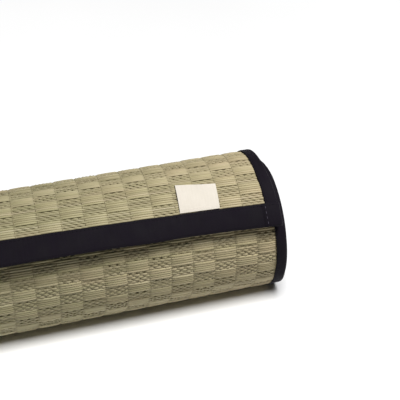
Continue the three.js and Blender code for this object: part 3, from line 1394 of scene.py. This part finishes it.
@dataclass
class Stitching:
    """Rows of short thread stitches along given lines."""

    pitch: float = 3.2 * MM
    length: float = 2.3 * MM
    radius: float = 0.24 * MM

    def build(
        self,
        name: str,
        lines: Sequence[np.ndarray],
        material: bpy.types.Material,
    ) -> bpy.types.Object:
        """Lays stitches along lines on the cloth.

        Args:
            name: The piece's name.
            lines: Points of each line.
            material: The thread.

        Returns:
            The piece.
        """
        points: List[List[float]] = []
        edges: List[Tuple[int, int]] = []
        for line in lines:
            first = len(points)
            points.extend(line.tolist())
            edges.extend((first + i, first + i + 1) for i in range(len(line) - 1))
        mesh = bpy.data.meshes.new(name)
        mesh.from_pydata(points, edges, [])
        graph = NodeGraph(name)
        pitch = graph.number("Stitch pitch", self.pitch)
        length = graph.number("Stitch length", self.length)
        radius = graph.number("Thread radius", self.radius)
        curve = graph.node("GeometryNodeMeshToCurve", {"Mesh": graph.source.outputs["Geometry"]})
        values = {"Curve": curve.outputs[0], "Length": pitch}
        dots = graph.node("GeometryNodeResampleCurve", values, mode="LENGTH")
        bead = graph.node("GeometryNodeMeshUVSphere", {"Segments": 6, "Rings": 5, "Radius": 1.0})
        size = graph.node("ShaderNodeCombineXYZ", {"X": length * 0.5, "Y": radius, "Z": radius})
        values = {"Geometry": bead.outputs[0], "Scale": size.outputs[0]}
        stitch = graph.node("GeometryNodeTransform", values)
        ahead = graph.node("GeometryNodeInputTangent")
        values = {"Vector": ahead.outputs[0]}
        turned = graph.node("FunctionNodeAlignRotationToVector", values, axis="X")
        values = {
            "Points": dots.outputs[0],
            "Instance": stitch.outputs[0],
            "Rotation": turned.outputs[0],
        }
        row = graph.node("GeometryNodeInstanceOnPoints", values)
        soft = graph.node("GeometryNodeSetShadeSmooth", {"Geometry": row.outputs[0]})
        graph.close(soft.outputs[0], material)
        return dress(graph.bake(name, mesh), Slot.CLOTH)


@dataclass
class Label:
    """A small bare cloth label, sewn in under the free end's hem."""

    winding: Winding
    width: float = 33 * MM
    height: float = 25 * MM
    left: float = 220.2 * MM
    side_lean: float = math.radians(3)
    top_lean: float = math.radians(6.4)
    base: float = 17.9 * MM
    underside: float = 2.4 * MM
    cloth: float = 0.4 * MM
    curl: float = 0.2 * MM

    def build(self, material: bpy.types.Material) -> bpy.types.Object:
        """Builds the label.

        Args:
            material: The cloth.

        Returns:
            The piece.
        """
        right = np.linspace(0.0, self.width, 29)[None, :]
        share = np.linspace(0.0, 1.0, 25)[:, None]
        rise = (self.height - right * math.tan(self.top_lean)) * share
        across = self.left + right + rise * math.tan(self.side_lean)
        length = self.base + rise
        side = right / self.width
        lift = self.curl * share**3 * (0.35 + 0.65 * (2 * side - 1.0) ** 2 * (0.6 + 0.4 * side))
        wave = 0.1 * MM * np.sin(side * 7.0 + 0.8) * share
        tuck = -0.35 * MM * (1.0 - smooth_step(0.0, 0.12, share))
        under = self.underside + lift + wave + tuck
        flat = np.stack(np.broadcast_arrays(right, rise), axis=-1)
        piece = slab_piece(
            "sewn_label",
            self.winding.place(length, across, under + self.cloth),
            self.winding.place(length, across, under),
            flat,
            material,
        )
        dress(piece, Slot.LABEL, "label")
        return piece


@dataclass
class Studio:
    """The floor, the soft lights and the camera."""

    camera_place: Tuple[float, float, float] = (46.32 * MM, -669.47 * MM, 610.43 * MM)
    camera_yaw: float = math.radians(16.277)
    camera_fall: float = math.radians(36.879)
    camera_lens: float = 93.43
    floor_size: float = 8.0
    sky: float = 0.03
    key_power: float = 20.4
    key_angle: float = math.radians(12)
    key_distance: float = 1.1
    key_side: float = 0.65
    key_size: float = 0.42
    front_power: float = 504.0
    front_angle: float = math.radians(22.5)
    front_distance: float = 6.0
    front_side: float = 0.1
    front_size: float = 2.4
    aim: Tuple[float, float, float] = (0.1, 0.0, 0.06)

    def camera(self) -> None:
        """Sets the camera at the photograph's place."""
        yaw, fall = self.camera_yaw, self.camera_fall
        level = math.cos(fall)
        ahead = Vector((math.sin(yaw) * level, math.cos(yaw) * level, -math.sin(fall)))
        right = Vector((math.cos(yaw), -math.sin(yaw), 0.0))
        up = right.cross(ahead)
        data = bpy.data.cameras.new("photo_camera")
        data.lens = self.camera_lens
        data.sensor_width = 36.0
        data.clip_start = 0.01
        camera = bpy.data.objects.new("photo_camera", data)
        turn = Matrix((right, up, -ahead)).transposed().to_4x4()
        camera.matrix_world = Matrix.Translation(self.camera_place) @ turn
        bpy.context.scene.collection.objects.link(camera)
        bpy.context.scene.camera = camera

    def floor(self, material: bpy.types.Material) -> bpy.types.Object:
        """Lays the floor.

        Args:
            material: Its material.

        Returns:
            The floor.
        """
        half, low = self.floor_size / 2, -0.0003
        mesh = bpy.data.meshes.new("studio_floor")
        corners = [(-half, -half, low), (half, -half, low), (half, half, low), (-half, half, low)]
        mesh.from_pydata(corners, [], [(0, 1, 2, 3)])
        mesh.materials.append(material)
        floor = bpy.data.objects.new("studio_floor", mesh)
        bpy.context.scene.collection.objects.link(floor)
        return floor

    def area(self, name: str, place: Vector, power: float, size: float) -> bpy.types.Object:
        """Hangs a soft square light that faces the roll.

        Args:
            name: The light's name.
            place: Where it hangs.
            power: Its power in watts.
            size: Its side in metres.

        Returns:
            The light.
        """
        data = bpy.data.lights.new(name, "AREA")
        data.shape = "SQUARE"
        data.size = size
        data.energy = power
        light = bpy.data.objects.new(name, data)
        light.location = place
        light.rotation_mode = "QUATERNION"
        light.rotation_quaternion = (Vector(self.aim) - place).to_track_quat("-Z", "Y")
        bpy.context.scene.collection.objects.link(light)
        return light

    def lights(self, floor: bpy.types.Object) -> None:
        """Sets the sky, a soft light over the roll, and one in front for the floor."""
        scene = bpy.context.scene
        world = bpy.data.worlds.new("studio_sky")
        world.use_nodes = True
        back = world.node_tree.nodes["Background"]
        back.inputs["Color"].default_value = (1.0, 1.0, 1.0, 1.0)
        back.inputs["Strength"].default_value = self.sky
        scene.world = world
        scene.view_settings.view_transform = "Standard"
        far, tilt = self.key_distance, self.key_angle
        place = Vector((self.key_side, -math.sin(tilt) * far, math.cos(tilt) * far))
        key = self.area("key_light", place, self.key_power, self.key_size)
        far, tilt = self.front_distance, self.front_angle
        place = Vector((self.front_side, -math.sin(tilt) * far, math.cos(tilt) * far))
        front = self.area("floor_light", place, self.front_power, self.front_size)
        self.link(key, floor, "EXCLUDE")
        self.link(front, floor, "INCLUDE")

    def link(self, light: bpy.types.Object, receiver: bpy.types.Object, state: str) -> None:
        """Ties a light to what it falls on.

        Args:
            light: The light.
            receiver: The object that it reaches alone, or leaves out.
            state: INCLUDE or EXCLUDE.
        """
        group = bpy.data.collections.new(f"{light.name}_reach")
        group.objects.link(receiver)
        group.collection_objects[0].light_linking.link_state = state
        light.light_linking.receiver_collection = group


def main() -> None:
    """Builds the studio and every piece of the mat, in order."""
    logging.basicConfig(level=logging.INFO, format="%(name)s %(message)s")
    studio = Studio()
    studio.camera()
    studio.lights(studio.floor(FloorFinish().material()))

    winding = Winding(half_width=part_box("end_binding_inner")[1][0])
    cloth, thread = BINDING_CLOTH.material(), SEWING_THREAD.material()

    mat = RushMat(winding)
    sheet = mat.sheet(RushBedFinish().material())
    stems = mat.stems(RushFinish().material())
    cords = mat.cords(WARP_CORD.material())

    for side in Side:
        strip = SideBinding(winding, width=9.8 * MM, side=side)
        if side is Side.LEFT:
            strip.rim_wander = strip.lip_wander = STRAIGHT
        strip.build(cloth)
        Stitching().build(f"stitches_{side.name.lower()}", [strip.seam()], thread)
    for end in MatEnd:
        strip = EndBinding(winding, width=17.8 * MM, end=end)
        strip.build(cloth)
        if end is MatEnd.FREE:
            Stitching().build("stitches_free_end", [strip.hem()], thread)
            Stitching().build("stitches_corners", strip.corners(), CORNER_THREAD.material())
    Label(winding).build(LABEL_CLOTH.material())


if __name__ == "__main__":
    main()
